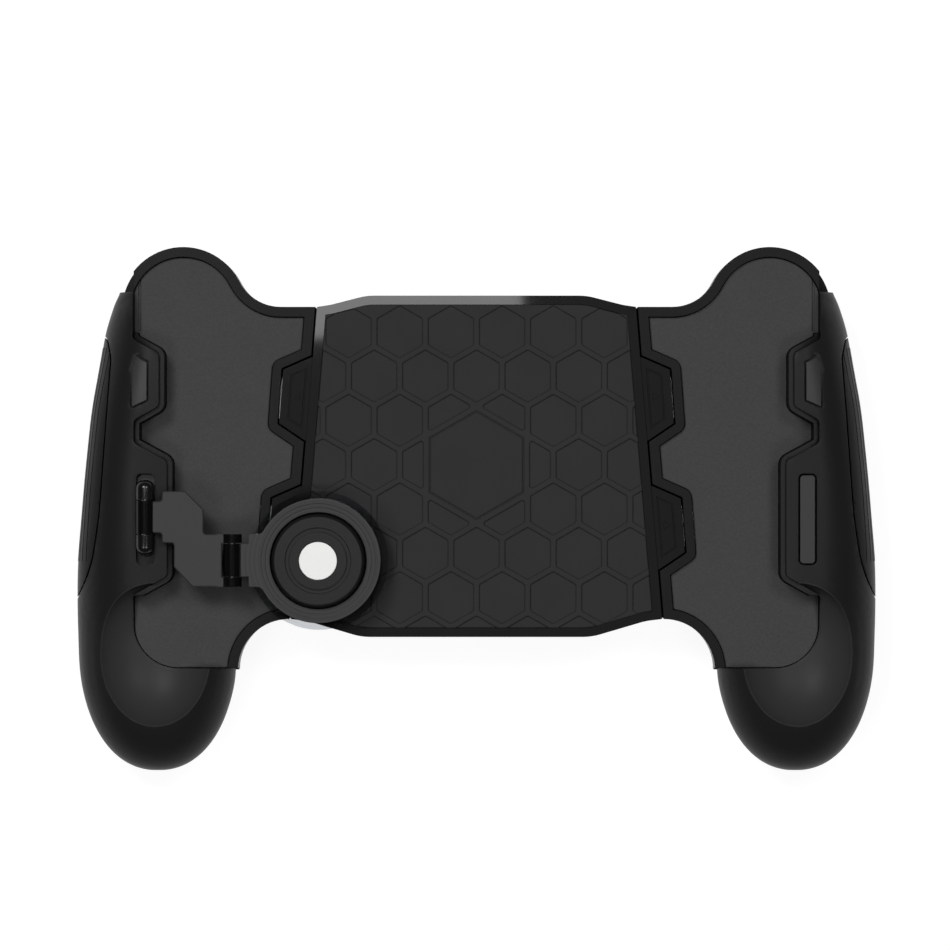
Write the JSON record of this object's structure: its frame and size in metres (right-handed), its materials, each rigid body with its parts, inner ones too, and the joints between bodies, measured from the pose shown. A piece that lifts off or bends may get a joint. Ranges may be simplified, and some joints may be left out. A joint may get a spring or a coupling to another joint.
{
  "type": "mobile game controller",
  "caption": "Telescopic phone grip with two rounded handles, a padded phone bay, a hexagon pad in the middle and a hinged thumb stick that swings over the screen.",
  "frame": {"origin": "middle of the grip, on the table that its handles rest on", "axes": "+X across the grip to the right handle, +Y towards the top edge, +Z towards the player"},
  "size_m": [0.1566, 0.1024, 0.0314],
  "materials": {
    "shell_black": "fine moulded texture, black",
    "plate_grey": "sanded texture, dark grey",
    "pad_rubber": "soft-touch, charcoal",
    "liner_rubber": "matt black rubber",
    "bezel_gloss": "gloss black",
    "arm_grey": "dark grey",
    "clear_plastic": "clear moulded plastic",
    "steel": "zinc-plated steel",
    "pale_contact": "satin pale metal",
    "foot_rubber": "conductive rubber"
  },
  "bodies": {
    "centre": {"centre_back": "shell_black", "centre_front": "bezel_gloss", "centre_screws": "steel", "hex_pad": "pad_rubber", "left_spring": "steel", "right_spring": "steel"},
    "left_handle": {"left_handle_back": "shell_black", "left_grip_front": "shell_black", "left_face_plate": "plate_grey", "left_clamp_liner": "liner_rubber", "left_side_inlay": "liner_rubber", "left_trim_pad": "arm_grey", "left_slide_tongue": "steel", "left_handle_screws": "steel"},
    "right_handle": {"right_handle_back": "shell_black", "right_grip_front": "shell_black", "right_face_plate": "plate_grey", "right_clamp_liner": "liner_rubber", "right_side_inlay": "liner_rubber", "right_trim_pad": "arm_grey", "right_slide_tongue": "steel", "right_handle_screws": "steel", "right_slot_cover": "arm_grey"},
    "arm_carriage": {"arm_carriage": "arm_grey", "arm_pin": "steel"},
    "arm_plate": {"arm_plate": "arm_grey", "stick_pin": "steel"},
    "stick_holder": {"stick_holder": "arm_grey", "clear_base_ring": "clear_plastic", "centring_spring": "steel"},
    "gimbal": {"gimbal_ring": "arm_grey"},
    "stick": {"stick_stem": "arm_grey", "stick_cap": "pad_rubber", "contact_disc": "pale_contact", "contact_rod": "steel", "conductive_foot": "foot_rubber"}
  },
  "joints": [
    {"name": "left_handle_slide", "type": "slide", "parent": "centre", "child": "left_handle", "axis": [-1, 0, 0], "range_m": [0, 0.02], "stiffness_N_per_m": 120, "springref_m": -0.02},
    {"name": "right_handle_slide", "type": "slide", "parent": "centre", "child": "right_handle", "axis": [1, 0, 0], "range_m": [0, 0.02], "stiffness_N_per_m": 120, "springref_m": -0.02},
    {"name": "arm_carriage_slide", "type": "slide", "parent": "left_handle", "child": "arm_carriage", "axis": [0, 1, 0], "range_m": [-0.0018, 0.001]},
    {"name": "arm_hinge", "type": "hinge", "parent": "arm_carriage", "child": "arm_plate", "pos_m": [-0.06434, 0, 0.0282], "axis": [0, -1, 0], "range_deg": [0, 125]},
    {"name": "stick_hinge", "type": "hinge", "parent": "arm_plate", "child": "stick_holder", "pos_m": [-0.04745, -0.00999, 0.0282], "axis": [0, -1, 0], "range_deg": [-4, 90]},
    {"name": "gimbal_tilt", "type": "hinge", "parent": "stick_holder", "child": "gimbal", "pos_m": [-0.03071, -0.00999, 0.0282], "axis": [1, 0, 0], "range_deg": [-12, 12], "stiffness_Nm_per_rad": 0.02, "deforming": ["centring_spring"]},
    {"name": "stick_tilt", "type": "hinge", "parent": "gimbal", "child": "stick", "pos_m": [-0.03071, -0.00999, 0.0282], "axis": [0, 1, 0], "range_deg": [-12, 12], "stiffness_Nm_per_rad": 0.02, "deforming": ["centring_spring"]}
  ]
}
